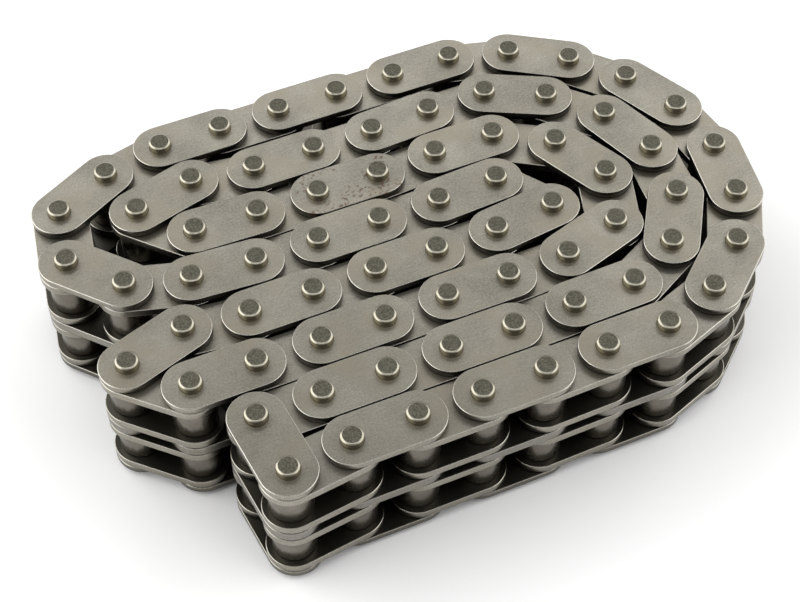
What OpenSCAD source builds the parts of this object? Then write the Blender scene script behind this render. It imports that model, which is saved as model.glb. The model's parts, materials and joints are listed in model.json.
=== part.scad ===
// Duplex roller timing chain: an endless two-strand chain that lies on its side, folded into a coil.
// Runs lie along X and are stacked along Y. The pins stand along Z, and the chain rests on their ends.

/* [Link plates] */
// Pitch of the chain, from one pin to the next
pitch = 9.525; // [9.475:0.025:12.7]
// Height of every link plate, across its straight sides
plate_height = 8.2; // [6.8:0.05:8.25]
// Thickness of the two outer plates of a link
outer_plate_t = 1.1; // [0.8:0.05:1.6]
// Thickness of the plate between the two strands
middle_plate_t = 1.56; // [1:0.02:2.4]
// Thickness of the four inner plates of a link
inner_plate_t = 1.3; // [0.8:0.05:1.8]
// Clear width between the inner plates of one strand, where a sprocket tooth goes
inner_width = 5.72; // [4:0.02:8]

/* [Pins, bushes and rollers] */
// Diameter of the bearing pins
pin_d = 3.28; // [2.6:0.02:3.6]
// How far each pin end stands out of its outer plate
pin_stand = 1.1; // [0.6:0.05:2]
// Width of the bevelled rim round each pin end, seen from above
pin_rim = 0.3; // [0.1:0.02:0.6]
// How far that rim slopes down from the end face
pin_rim_drop = 0.16; // [0.05:0.01:0.5]
// Wall of the bushes
bush_wall = 0.6; // [0.4:0.02:0.8]
// Outer diameter of the rollers
roller_d = 6.35; // [5.8:0.01:6.7]

/* [Clearances] */
// Radial clearance of a pin in its bush
pin_clearance = 0.03; // [0.01:0.01:0.1]
// Radial clearance of a roller on its bush
roller_clearance = 0.05; // [0.02:0.01:0.15]
// Gap between the plates of neighbouring links, along the pin
side_play = 0.18; // [0.05:0.01:0.3]
// Gap at each end of a roller, between the inner plates
roller_play = 0.06; // [0.02:0.01:0.2]

/* [Hidden] */
// How the coil lies: angles are in degrees from +X
// Distance from one run to the next, in pitches
row_share = 0.882;
// Extra distance to the last run at the back, in pitches
back_row_share = 0.13;
// Direction from end to end of the six-link bend, from the second run back to the seventh
six_bend_lean = 95;
// How much more that bend turns at each pin than at the one before
six_bend_growth = -2.5;
// Direction from end to end of the four-link bend, from the third run to the sixth
four_bend_lean = 90;
// How much more that bend turns at each pin than at the one before
four_bend_growth = 11;
// Direction from end to end of the three-link bend, from the fifth run back to the eighth
three_bend_lean = 79.5;
// How much more the outer bend turns at each pin than at the one before
outer_bend_growth = 1;
// Direction from end to end of the two-link corner, from the first run back to the second
corner_lean = 141;
// Direction from end to end of the fold between the third and fourth runs
left_fold_lean = 77;
// Direction from end to end of the fold between the fourth and fifth runs
right_fold_lean = 65.5;
// Direction from end to end of the fold between the sixth and seventh runs
back_fold_lean = 74;
// Tilt of the second link of the front run
front_run_tilt = 1;
// Tilt of the last two links of the second run, before the six-link bend
second_run_tilt = 1;
// Tilt of the first link of the third run, after the four-link bend
third_run_tilt = 1;
// Tilt of the last link but one of the fifth run
fifth_run_tilt = 4;
// Tilt of the last link of the fifth run, before the three-link bend
fifth_run_end_tilt = 16.5;
// Tilt of the first link of the sixth run
sixth_run_start_tilt = 2;
// Tilt of the last link but one of the sixth run
sixth_run_end_tilt = 2.5;
// Tilt of the second link of the seventh run, after the six-link bend
seventh_run_tilt = 3;
// Tilt of the first link of the eighth run, after the three-link bend
eighth_run_start_tilt = 13.5;
// Tilt of the last link of the eighth run, before the outer bend
eighth_run_end_tilt = 16;

// Number of faces round the pins and the plate ends
face_count = 48;

// Links of the loop, counted from the pivot where it is opened: even numbers are inner links
link_count = 74;
// Links at the outside of the coil that nothing traps, up to the open pivot
free_link_count = 13;
first_free = link_count - free_link_count;
free_outer_links = ceil(free_link_count / 2);
free_inner_links = floor(free_link_count / 2);
free_roller_pairs = 2 * free_inner_links;

// Sizes across the parts
plate_r = plate_height / 2;
bush_bore = pin_d + 2 * pin_clearance;
bush_d = bush_bore + 2 * bush_wall;
roller_bore = bush_d + 2 * roller_clearance;
inner_link_w = inner_width + 2 * inner_plate_t;
roller_w = inner_width - 2 * roller_play;

// Heights of the layers, from the lower pin ends up
lower_outer_z = pin_stand;
lower_strand_z = lower_outer_z + outer_plate_t + side_play;
middle_z = lower_strand_z + inner_link_w + side_play;
upper_strand_z = middle_z + middle_plate_t + side_play;
upper_outer_z = upper_strand_z + inner_link_w + side_play;
chain_h = upper_outer_z + outer_plate_t + pin_stand;
strand_zs = [lower_strand_z, upper_strand_z];

// A fold is two links that turn the chain back until the plates on both sides of a link nearly touch
row_gap = row_share * pitch;
fold_angle = asin(row_share);
fold_chord = 2 * pitch * sin(fold_angle / 2);
fold_turn = (180 - fold_angle) / 2;

// How far a link tilted by an angle climbs from its row
function climb(tilt) = pitch * sin(tilt);
// Tilt of the link beside a fold that spans more than the distance between two rows
function fold_tilt(lean, start = 0) = asin((fold_chord * sin(lean) - row_gap + start) / pitch);
// Headings of the two links of a fold: side is 1 for a left turn and -1 for a right turn
function fold(lean, side) = [lean - side * fold_turn, lean + side * fold_turn];
// Headings of a bend of n links about its middle, where it turns by the angle given
function bend_shape(n, turn, growth) =
    [for (k = [0 : n - 1]) let (place = k - (n - 1) / 2) place * turn + growth / 2 * place * place];
// Turn at the middle of a bend of n links across a span, found by halving an interval
function bend_turn(n, span, growth, low, high, steps) =
    let (turn = (low + high) / 2)
    steps == 0 ? turn :
    norm(reach(bend_shape(n, turn, growth))) > span ?
        bend_turn(n, span, growth, turn, high, steps - 1) :
        bend_turn(n, span, growth, low, turn, steps - 1);
// Headings of the links of a bend: side is as for a fold
function bend(n, span, lean, side, growth = 0) =
    let (shape = bend_shape(n, bend_turn(n, span, growth, 0, 360 / n, 40), growth),
         chord = reach(shape))
    [for (heading = shape) lean + side * (heading - atan2(chord[1], chord[0]))];
// A straight run of n links
function run(n, heading) = [for (k = [1 : n]) heading];
// The step along one link
function link_step(heading) = pitch * [cos(heading), sin(heading)];
// The pins that a list of headings leads to
function walk(start, headings) =
    [for (k = 0, at = start; k <= len(headings);
          at = k < len(headings) ? at + link_step(headings[k]) : at, k = k + 1) at];
// The step from the first pin to the last
function reach(headings) = walk([0, 0], headings)[len(headings)];

// Tilts beside the folds
fourth_run_tilt = fold_tilt(left_fold_lean);
fifth_run_start_tilt = fold_tilt(right_fold_lean);
seventh_run_end_tilt = fold_tilt(back_fold_lean, climb(sixth_run_start_tilt));

// Spans of the bends across the rows
six_bend_span =
    (5 * row_gap + climb(seventh_run_tilt) - 2 * climb(second_run_tilt)) / sin(six_bend_lean);
four_bend_span =
    (3 * row_gap + climb(sixth_run_end_tilt) - climb(third_run_tilt)) / sin(four_bend_lean);
three_bend_span =
    (3 * row_gap + back_row_share * pitch - climb(fifth_run_tilt) - climb(fifth_run_end_tilt)
     - climb(eighth_run_start_tilt)) / sin(three_bend_lean);

// Headings from the open pivot through the inside of the coil to the end of the back run
inside_headings = concat(
    run(4, 0), run(2, second_run_tilt),
    bend(6, six_bend_span, six_bend_lean, 1, six_bend_growth),
    [180, 180 + seventh_run_tilt], run(2, 180), [180 - seventh_run_end_tilt],
    fold(back_fold_lean - 180, 1),
    [-sixth_run_start_tilt], run(2, 0), [sixth_run_end_tilt, 0],
    bend(4, four_bend_span, -four_bend_lean, -1, four_bend_growth),
    [180 + third_run_tilt], run(5, 180),
    fold(left_fold_lean, -1),
    [-fourth_run_tilt], run(4, 0),
    fold(right_fold_lean, 1),
    [180 + fifth_run_start_tilt], run(3, 180), [180 - fifth_run_tilt, 180 - fifth_run_end_tilt],
    bend(3, three_bend_span, three_bend_lean, -1),
    [eighth_run_start_tilt], run(5, 0), [-eighth_run_end_tilt]);
// Headings of the front run and of the corner that leads back to the open pivot
front_headings = concat(
    [180, 180 + front_run_tilt], run(3, 180),
    bend(2, row_gap / sin(corner_lean), corner_lean, -1));
// The outer bend closes the loop between the two
closing = -reach(front_headings) - reach(inside_headings);
outer_bend_links = link_count - len(inside_headings) - len(front_headings);
headings = concat(inside_headings,
                  bend(outer_bend_links, norm(closing), atan2(closing[1], closing[0]), -1, outer_bend_growth),
                  front_headings);

// Pins about the middle of the coil
laid_pins = walk([0, 0], headings);
pin_xs = [for (at = laid_pins) at[0]];
pin_ys = [for (at = laid_pins) at[1]];
coil_middle = [min(pin_xs) + max(pin_xs), min(pin_ys) + max(pin_ys)] / 2;
pins = [for (at = laid_pins) at - coil_middle];

// Links by kind, in the coil and on the free stretch
coil_outer = [1 : 2 : first_free - 1];
coil_inner = [0 : 2 : first_free - 1];
function free_outer(n) = first_free + 2 * (n - 1);
function free_inner(n) = first_free + 2 * n - 1;
function free_roller_pin(n) = first_free + n;

plate_colour = [0.62, 0.60, 0.55];
inner_colour = [0.55, 0.53, 0.49];
pin_colour = [0.70, 0.68, 0.60];
bush_colour = [0.47, 0.44, 0.40];
roller_colour = [0.50, 0.46, 0.41];

// Straight-sided link plate with round ends and two holes, from one pin to the next
module plate(thickness, hole_d) {
    linear_extrude(thickness)
        difference() {
            union() {
                for (x = [0, pitch]) translate([x, 0]) circle(r = plate_r, $fn = face_count);
                translate([0, -plate_r]) square([pitch, plate_height]);
            }
            for (x = [0, pitch]) translate([x, 0]) circle(d = hole_d, $fn = face_count);
        }
}

// Ring about Z
module ring(outer_d, inner_d, height) {
    rotate_extrude($fn = face_count)
        translate([inner_d / 2, 0]) square([(outer_d - inner_d) / 2, height]);
}

// Bevelled upper end of a pin
module pin_end(height) {
    rotate_extrude($fn = face_count)
        polygon([[0, 0], [pin_d / 2, 0], [pin_d / 2, height - pin_rim_drop],
                 [pin_d / 2 - pin_rim, height], [0, height]]);
}

// Whole pin, bevelled at both ends
module pin() {
    rotate_extrude($fn = face_count)
        polygon([[0, 0], [pin_d / 2 - pin_rim, 0], [pin_d / 2, pin_rim_drop],
                 [pin_d / 2, chain_h - pin_rim_drop], [pin_d / 2 - pin_rim, chain_h], [0, chain_h]]);
}

// Moves a part that is drawn from its first pin along X to its link
module at_link(link) {
    translate(pins[link]) rotate(headings[link]) children();
}

// Moves a part to both pins of a link
module at_link_pins(link) {
    for (k = [link, link + 1]) translate(pins[k]) children();
}

// Both inner plates of a strand
module strand_plates(strand_z) {
    for (z = [0, inner_plate_t + inner_width])
        translate([0, 0, strand_z + z]) plate(inner_plate_t, bush_d);
}

module strand_bush(strand_z) {
    translate([0, 0, strand_z]) ring(bush_d, bush_bore, inner_link_w);
}

module strand_roller(strand_z) {
    translate([0, 0, strand_z + inner_plate_t + roller_play]) ring(roller_d, roller_bore, roller_w);
}

// Outer plates of the coil, above and below the strands
module coil_outer_plates_top() {
    color(plate_colour)
        for (k = coil_outer) at_link(k) translate([0, 0, upper_outer_z]) plate(outer_plate_t, pin_d);
}

module coil_outer_plates_bottom() {
    color(plate_colour)
        for (k = coil_outer) at_link(k) translate([0, 0, lower_outer_z]) plate(outer_plate_t, pin_d);
}

// Plates between the strands
module coil_middle_plates() {
    color(plate_colour)
        for (k = coil_outer) at_link(k) translate([0, 0, middle_z]) plate(middle_plate_t, pin_d);
}

module coil_pins() {
    color(pin_colour) for (k = coil_outer) at_link_pins(k) pin();
}

module coil_inner_plates_top() {
    color(inner_colour) for (k = coil_inner) at_link(k) strand_plates(upper_strand_z);
}

module coil_inner_plates_bottom() {
    color(inner_colour) for (k = coil_inner) at_link(k) strand_plates(lower_strand_z);
}

module coil_bushes_top() {
    color(bush_colour) for (k = coil_inner) at_link_pins(k) strand_bush(upper_strand_z);
}

module coil_bushes_bottom() {
    color(bush_colour) for (k = coil_inner) at_link_pins(k) strand_bush(lower_strand_z);
}

module coil_rollers_top() {
    color(roller_colour) for (k = coil_inner) at_link_pins(k) strand_roller(upper_strand_z);
}

module coil_rollers_bottom() {
    color(roller_colour) for (k = coil_inner) at_link_pins(k) strand_roller(lower_strand_z);
}

// The stretches of the open pivot's pin that stay in the bushes of the first link
module open_pivot_pin() {
    color(pin_colour)
        for (z = strand_zs) translate([pins[0][0], pins[0][1], z])
            cylinder(d = pin_d, h = inner_link_w, $fn = face_count);
}

// The stretches of that pin that stay in the plates of the last link
module open_pivot_stubs() {
    end_h = outer_plate_t + pin_stand;
    translate([0, 0, upper_outer_z]) pin_end(end_h);
    translate([0, 0, middle_z]) cylinder(d = pin_d, h = middle_plate_t, $fn = face_count);
    translate([0, 0, end_h]) mirror([0, 0, 1]) pin_end(end_h);
}

// Outer links of the free stretch
module outer_plates(n) {
    color(plate_colour)
        at_link(free_outer(n))
            for (z = [lower_outer_z, upper_outer_z]) translate([0, 0, z]) plate(outer_plate_t, pin_d);
}

module middle_plate(n) {
    color(plate_colour)
        at_link(free_outer(n)) translate([0, 0, middle_z]) plate(middle_plate_t, pin_d);
}

module link_pins(n) {
    link = free_outer(n);
    color(pin_colour) {
        translate(pins[link]) pin();
        translate(pins[link + 1])
            if (link + 1 == link_count) open_pivot_stubs();
            else pin();
    }
}

// Inner links of the free stretch
module inner_plates(n) {
    color(inner_colour) at_link(free_inner(n)) for (z = strand_zs) strand_plates(z);
}

module bushes(n) {
    color(bush_colour) at_link_pins(free_inner(n)) for (z = strand_zs) strand_bush(z);
}

// The upper and lower roller on one pin of the free stretch
module rollers(n) {
    color(roller_colour) translate(pins[free_roller_pin(n)]) for (z = strand_zs) strand_roller(z);
}

coil_outer_plates_top();
coil_outer_plates_bottom();
coil_middle_plates();
coil_pins();
coil_inner_plates_top();
coil_inner_plates_bottom();
coil_bushes_top();
coil_bushes_bottom();
coil_rollers_top();
coil_rollers_bottom();
open_pivot_pin();
for (n = [1 : free_outer_links]) {
    outer_plates(n);
    middle_plate(n);
    link_pins(n);
}
for (n = [1 : free_inner_links]) {
    inner_plates(n);
    bushes(n);
}
for (n = [1 : free_roller_pairs]) {
    rollers(n);
}
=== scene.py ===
import json
from math import radians

import bpy
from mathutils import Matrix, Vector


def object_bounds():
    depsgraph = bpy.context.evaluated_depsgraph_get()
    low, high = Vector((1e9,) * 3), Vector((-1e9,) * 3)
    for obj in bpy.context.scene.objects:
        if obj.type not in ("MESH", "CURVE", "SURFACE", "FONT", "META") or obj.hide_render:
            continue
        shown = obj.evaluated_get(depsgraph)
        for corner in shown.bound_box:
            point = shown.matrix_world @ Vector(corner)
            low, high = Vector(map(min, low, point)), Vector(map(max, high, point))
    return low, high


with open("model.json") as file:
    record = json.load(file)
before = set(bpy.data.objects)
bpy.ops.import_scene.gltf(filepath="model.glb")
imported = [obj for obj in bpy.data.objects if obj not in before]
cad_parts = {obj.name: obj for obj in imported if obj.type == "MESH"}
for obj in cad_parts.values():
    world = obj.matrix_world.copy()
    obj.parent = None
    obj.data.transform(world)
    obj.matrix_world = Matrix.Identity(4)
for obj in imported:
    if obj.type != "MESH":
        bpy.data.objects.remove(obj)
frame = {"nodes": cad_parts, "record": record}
cad_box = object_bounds()

# Bushes
# Hardened steel tubes, one in each strand on each pin, pressed with both ends into two inner plates.
# Their ends lie flush with the plates, so little of them shows, dull with oil.
MM = 0.001
BUSH_EDGE = 0.05 * MM
BUSH_LIGHT = (0.26, 0.24, 0.21, 1)
BUSH_DARK = (0.12, 0.11, 0.09, 1)
BUSH_FILM = 1.5 * MM
BUSH_RELIEF = 0.01 * MM
SAME_POINT = 0.001 * MM
SAME_FLAT = radians(1)
SHARP_EDGE = radians(15)


class Field:
    """A socket of a material. Operators on it add Math nodes, and node() adds any other node."""

    def __init__(self, tree, socket=None):
        self.tree = tree
        self.socket = socket

    def node(self, kind, settings, sockets, output=0):
        made = self.tree.nodes.new("ShaderNode" + kind)
        for name, value in settings.items():
            setattr(made, name, value)
        for name, value in sockets.items():
            if isinstance(value, Field):
                self.tree.links.new(value.socket, made.inputs[name])
            else:
                made.inputs[name].default_value = value
        return Field(self.tree, made.outputs[output] if made.outputs else None)

    def math(self, operation, other=0.0):
        return self.node("Math", {"operation": operation}, {0: self, 1: other})

    def __add__(self, other):
        return self.math("ADD", other)

    def __mul__(self, other):
        return self.math("MULTIPLY", other)

    def __sub__(self, other):
        return self.math("SUBTRACT", other)

    def __rsub__(self, other):
        return self.node("Math", {"operation": "SUBTRACT"}, {0: other, 1: self})

    __radd__ = __add__
    __rmul__ = __mul__

    def rise(self, start, end):
        """0 up to start and 1 from end on, with a smooth rise between them."""
        sockets = {"Value": self, "From Min": start, "From Max": end}
        return self.node("MapRange", {"interpolation_type": "SMOOTHSTEP"}, sockets)

    def blend(self, first, second):
        """The first colour where the field is 0, and the second where it is 1."""
        return self.node("Mix", {"data_type": "RGBA"}, {0: self, 6: first, 7: second}, 2)

    def along(self, axis):
        """The part of a vector along X, Y or Z."""
        return self.node("SeparateXYZ", {}, {"Vector": self}, axis)

    def stretch(self, along_x, along_y, along_z):
        """Places scaled along each axis."""
        factors = {0: self, 1: (along_x, along_y, along_z)}
        return self.node("VectorMath", {"operation": "MULTIPLY"}, factors)

    def noise(self, size, detail=3.0, harshness=0.55):
        """Noise at these places, with features of about the size given in metres."""
        sockets = {"Vector": self, "Scale": 1 / size, "Detail": detail, "Roughness": harshness}
        return self.node("TexNoise", {}, sockets)

    def metal(self, colour, roughness, relief, depth):
        """Closes a finish: this field's material is a metal with a relief of this depth in metres."""
        normal = self.node("Bump", {}, {"Height": relief, "Distance": depth})
        sockets = {"Base Color": colour, "Roughness": roughness, "Normal": normal, "Metallic": 1.0}
        surface = self.node("BsdfPrincipled", {}, sockets)
        self.node("OutputMaterial", {}, {"Surface": surface})


def start_finish(name):
    """A new, empty material, and the places on its pieces."""
    material = bpy.data.materials.new(name)
    material.use_nodes = True
    material.node_tree.nodes.clear()
    places = Field(material.node_tree).node("TexCoord", {}, {}, "Object")
    return material, places


def dress(slot, material, edge):
    """Gives the pieces of a kind their finish, and rounds their edges."""
    for row in frame["record"]["subparts"]:
        if row["material_slot"] != slot:
            continue
        piece = frame["nodes"][row["node"]]
        piece.material_slots[0].material = material
        joined = piece.modifiers.new("joined_faces", "WELD")
        joined.merge_threshold = SAME_POINT
        flats = piece.modifiers.new("whole_flats", "DECIMATE")
        flats.decimate_type = "DISSOLVE"
        flats.angle_limit = SAME_FLAT
        rounded = piece.modifiers.new("rounded_edges", "BEVEL")
        rounded.width = edge
        rounded.segments = 3
        rounded.limit_method = "ANGLE"
        rounded.angle_limit = SHARP_EDGE
        rounded.loop_slide = False
        rounded.use_clamp_overlap = False
        rounded.harden_normals = True


bush_steel, places = start_finish("bush_steel")
film = places.noise(BUSH_FILM)
bush_colour = film.rise(0.3, 0.7).blend(BUSH_DARK, BUSH_LIGHT)
places.metal(bush_colour, film * 0.3 + 0.3, film, BUSH_RELIEF)
dress("bushes", bush_steel, BUSH_EDGE)

# Rollers
# Smooth ground steel rings that turn on the bushes. A sprocket's teeth run between them.
# They are browner than the plates, with fine lathe marks under a film of oil.
ROLLER_EDGE = 0.25 * MM
ROLLER_LIGHT = (0.212, 0.192, 0.162, 1)
ROLLER_DARK = (0.14, 0.125, 0.103, 1)
ROLLER_FILM = 2.2 * MM
LATHE_MARK = 0.12 * MM
LATHE_RELIEF = 0.002 * MM
DRIFT_SIZE = 13 * MM


def slow_drift(places):
    """A change of tone from one stretch of the chain to the next."""
    return places.noise(DRIFT_SIZE, 1.0).rise(0.32, 0.68)


roller_steel, places = start_finish("roller_steel")
film = places.noise(ROLLER_FILM)
lathe_marks = places.stretch(0.05, 0.05, 1).noise(LATHE_MARK)
roller_tone = film.rise(0.25, 0.75) * 0.5 + slow_drift(places) * 0.3 + lathe_marks.rise(0.3, 0.7) * 0.2
roller_colour = roller_tone.blend(ROLLER_DARK, ROLLER_LIGHT)
places.metal(roller_colour, 0.34 - roller_tone * 0.12, lathe_marks, LATHE_RELIEF)
dress("rollers", roller_steel, ROLLER_EDGE)

# Inner plates
# Four to an inner link, pressed onto the ends of the bushes. They have straight sides and round ends, and
# were blanked from steel strip and tumbled, which left their faces satin grey with fine pits and a faint
# grain, and their edges bright. Faces low in the coil carry painted shade, and so do walls between pieces.
PLATE_EDGE = 0.13 * MM
INNER_LIGHT = (0.415, 0.39, 0.335, 1)
INNER_DARK = (0.185, 0.172, 0.143, 1)
EDGE_COLOUR = (0.62, 0.595, 0.53, 1)
STAIN_COLOUR = (0.275, 0.25, 0.19, 1)
# The next two colours are painted shade: one for faces low in the coil, one for walls in the gaps between
# pieces.
LOW_SHADE_COLOUR = (0.055, 0.053, 0.043, 1)
GAP_SHADE_COLOUR = (0.03, 0.028, 0.024, 1)
PIT_SIZE = 0.3 * MM
GRAIN_SIZE = 0.16 * MM
CLOUD_SIZE = 5 * MM
STAIN_SIZE = 6.5 * MM
# How far the painted shade on walls looks for other pieces.
GAP_SHADE_REACH = 4 * MM
PLATE_RELIEF = 0.005 * MM
COIL_TOP = cad_box[1][2]


def how_level(places):
    """1 on faces that look straight up or down, and 0 on upright walls."""
    return places.node("TexCoord", {}, {}, "Normal").along("Z").math("ABSOLUTE")


def tumbled_steel(name, light, dark):
    """A plate's material and places, with the colour, roughness and relief of its steel; the colour holds
    painted shade.
    """
    material, places = start_finish(name)
    level = how_level(places)
    pits = places.noise(PIT_SIZE, 4.0, 0.75)
    grain = places.stretch(0.07, 1, 1).noise(GRAIN_SIZE)
    cloud = places.noise(CLOUD_SIZE)
    fine_tone = pits.rise(0.3, 0.7) * 0.44 + grain.rise(0.25, 0.75) * 0.16
    tone = fine_tone + cloud.rise(0.3, 0.7) * 0.2 + slow_drift(places) * 0.2
    stain = places.noise(STAIN_SIZE, 2.0).rise(0.42, 0.72) * (0.4 + pits * 0.4)
    face = stain.blend(tone.blend(dark, light), STAIN_COLOUR)
    # Painted shade: level faces low in the coil are painted near black, and the bright edges there are
    # dimmed.
    low = 1 - places.along("Z").rise(0.8 * COIL_TOP, 0.85 * COIL_TOP)
    edge = level.rise(0.1, 0.35) * (1 - level.rise(0.93, 0.985))
    face_and_edges = (edge * (0.7 - low * 0.3)).blend(face, EDGE_COLOUR)
    low_shade = level.rise(0.9, 0.98) * low
    low_shaded = (low_shade * 0.85).blend(face_and_edges, LOW_SHADE_COLOUR)
    # Painted shade: walls with other pieces close by are painted near black, by how little open air they
    # see.
    open_air = places.node("AmbientOcclusion", {"samples": 6}, {"Distance": GAP_SHADE_REACH}, "AO")
    gap_shade = (1 - level.rise(0.35, 0.95)) * (1 - open_air.rise(0.7, 0.94))
    colour = (gap_shade * 0.9).blend(low_shaded, GAP_SHADE_COLOUR)
    roughness = 0.42 - tone * 0.1 - edge * 0.1
    return material, places, colour, roughness, pits + grain * 0.4


inner_finish = tumbled_steel("inner_plate_steel", INNER_LIGHT, INNER_DARK)
inner_steel, places, colour, roughness, relief = inner_finish
places.metal(colour, roughness, relief, PLATE_RELIEF)
dress("inner_plates", inner_steel, PLATE_EDGE)

# Pins
# Hardened steel pins, two to an outer link, pressed through its three plates. The ends were cropped, which
# left a dull, rough face, and a bright bevelled rim with a yellowish tinge round it.
PIN_EDGE = 0.08 * MM
RIM_COLOUR = (0.355, 0.336, 0.272, 1)
SHANK_COLOUR = (0.25, 0.228, 0.17, 1)
END_LIGHT = (0.145, 0.136, 0.106, 1)
END_DARK = (0.078, 0.073, 0.056, 1)
CRUMB_SIZE = 0.26 * MM
CRUMB_RELIEF = 0.015 * MM

pin_steel, places = start_finish("pin_steel")
level = how_level(places)
crumbs = places.noise(CRUMB_SIZE, 2.0, 0.6)
end_face = level.rise(0.95, 0.985)
end_colour = crumbs.rise(0.36, 0.64).blend(END_DARK, END_LIGHT)
side_colour = level.rise(0.5, 0.87).blend(SHANK_COLOUR, RIM_COLOUR)
pin_colour = end_face.blend(side_colour, end_colour)
places.metal(pin_colour, end_face * 0.3 + 0.3, crumbs * end_face, CRUMB_RELIEF)
dress("pins", pin_steel, PIN_EDGE)

# Middle plates
# One to an outer link, pressed onto its pins between the two strands. They are blanked and tumbled
# like the inner plates, and only their edges show.
MIDDLE_LIGHT = (0.33, 0.312, 0.28, 1)
MIDDLE_DARK = (0.16, 0.15, 0.13, 1)

middle_finish = tumbled_steel("middle_plate_steel", MIDDLE_LIGHT, MIDDLE_DARK)
middle_steel, places, colour, roughness, relief = middle_finish
places.metal(colour, roughness, relief, PLATE_RELIEF)
dress("middle_plates", middle_steel, PLATE_EDGE)

# Outer plates
# One above and one below both strands on each outer link, held by the pins. They are the chain's face,
# and one of them, in the sixth run, has started to rust in specks.
OUTER_LIGHT = (0.4, 0.379, 0.321, 1)
OUTER_DARK = (0.155, 0.146, 0.121, 1)
RUST_COLOUR = (0.125, 0.07, 0.045, 1)
RUST_PATCH = 2.6 * MM
RUST_SPECK = 0.6 * MM
RUSTY_PLATE = (-5.47 * MM, 12.52 * MM, 21.8 * MM)
RUST_REACH = {"X": 8.9 * MM, "Y": 4.15 * MM, "Z": 2 * MM}

outer_finish = tumbled_steel("outer_plate_steel", OUTER_LIGHT, OUTER_DARK)
outer_steel, places, colour, roughness, relief = outer_finish
from_plate = places.node("VectorMath", {"operation": "SUBTRACT"}, {0: places, 1: RUSTY_PLATE})
rust = places.noise(RUST_PATCH).rise(0.5, 0.6) * places.noise(RUST_SPECK, 2.0, 0.6).rise(0.53, 0.6)
for axis, reach in RUST_REACH.items():
    rust = rust * from_plate.along(axis).math("ABSOLUTE").math("LESS_THAN", reach)
rusty_colour = (rust * 0.7).blend(colour, RUST_COLOUR)
places.metal(rusty_colour, roughness + rust * 0.3, relief, PLATE_RELIEF)
dress("outer_plates", outer_steel, PLATE_EDGE)

# Studio
# A pale floor between soft lights: a broad one behind, which the plates mirror, one on each side for the
# floor, and a narrow one overhead for the rims and edges, with a dim even light from all round.
FLOOR_REACH = 3.0
FLOOR_DROP = 0.01 * MM
FLOOR_COLOUR = (0.93, 0.93, 0.925, 1)
FLOOR_ROUGHNESS = 0.9
SKY_COLOUR = (1, 1, 1, 1)
SKY_STRENGTH = 0.3
BACK_WIDTH = 1.3
BACK_DEPTH = 0.7
BACK_POWER = 3.6
BACK_PLACE = (0.31, 0.72, 0.56)
SIDE_WIDTH = 1.5
SIDE_DEPTH = 1.0
LEFT_POWER = 12.6
LEFT_PLACE = (-0.72, 0.34, 0.52)
RIGHT_POWER = 9.2
RIGHT_PLACE = (0.78, -0.2, 0.52)
STRIP_WIDTH = 0.6
STRIP_DEPTH = 0.22
STRIP_POWER = 0.9
STRIP_PLACE = (-0.09, -0.2, 0.8)

floor_paint = bpy.data.materials.new("floor_paint")
floor_paint.use_nodes = True
paint = floor_paint.node_tree.nodes["Principled BSDF"]
paint.inputs["Base Color"].default_value = FLOOR_COLOUR
paint.inputs["Roughness"].default_value = FLOOR_ROUGHNESS

near, far = -FLOOR_REACH, FLOOR_REACH
corners = [(near, near, 0), (far, near, 0), (far, far, 0), (near, far, 0)]
floor_mesh = bpy.data.meshes.new("floor")
floor_mesh.from_pydata(corners, [], [(0, 1, 2, 3)])
floor_mesh.materials.append(floor_paint)
floor = bpy.data.objects.new("floor", floor_mesh)
floor.location.z = -FLOOR_DROP
bpy.context.scene.collection.objects.link(floor)

sky = bpy.data.worlds.new("even_light")
sky.use_nodes = True
sky.node_tree.nodes["Background"].inputs["Color"].default_value = SKY_COLOUR
sky.node_tree.nodes["Background"].inputs["Strength"].default_value = SKY_STRENGTH
bpy.context.scene.world = sky


def panel_light(name, place, width, depth, power):
    """A flat soft light that faces the middle of the coil."""
    panel = bpy.data.lights.new(name, "AREA")
    panel.shape = "RECTANGLE"
    panel.size = width
    panel.size_y = depth
    panel.energy = power
    stand = bpy.data.objects.new(name, panel)
    stand.location = place
    stand.rotation_euler = stand.location.to_track_quat("Z", "Y").to_euler()
    bpy.context.scene.collection.objects.link(stand)


panel_light("back_light", BACK_PLACE, BACK_WIDTH, BACK_DEPTH, BACK_POWER)
panel_light("left_light", LEFT_PLACE, SIDE_WIDTH, SIDE_DEPTH, LEFT_POWER)
panel_light("right_light", RIGHT_PLACE, SIDE_WIDTH, SIDE_DEPTH, RIGHT_POWER)
panel_light("strip_light", STRIP_PLACE, STRIP_WIDTH, STRIP_DEPTH, STRIP_POWER)

# Camera
# It looks down on the coil from the front left, as the photograph does.
# Its place, angles and lens were fitted to the tops of the pins.
IMAGE_WIDTH = 800
FOCAL_PIXELS = 1746
CAMERA_PLACE = (-66.76 * MM, -148.34 * MM, 215.89 * MM)
CAMERA_ELEVATION = 52.27
CAMERA_HEADING = 23.43

lens = bpy.data.cameras.new("photo_view")
lens.lens = FOCAL_PIXELS / IMAGE_WIDTH * lens.sensor_width
lens.clip_start = 0.01
camera = bpy.data.objects.new("photo_view", lens)
camera.location = CAMERA_PLACE
camera.rotation_euler = (radians(90 - CAMERA_ELEVATION), 0, radians(-CAMERA_HEADING))
bpy.context.scene.collection.objects.link(camera)
bpy.context.scene.camera = camera
bpy.context.scene.view_settings.view_transform = "Standard"
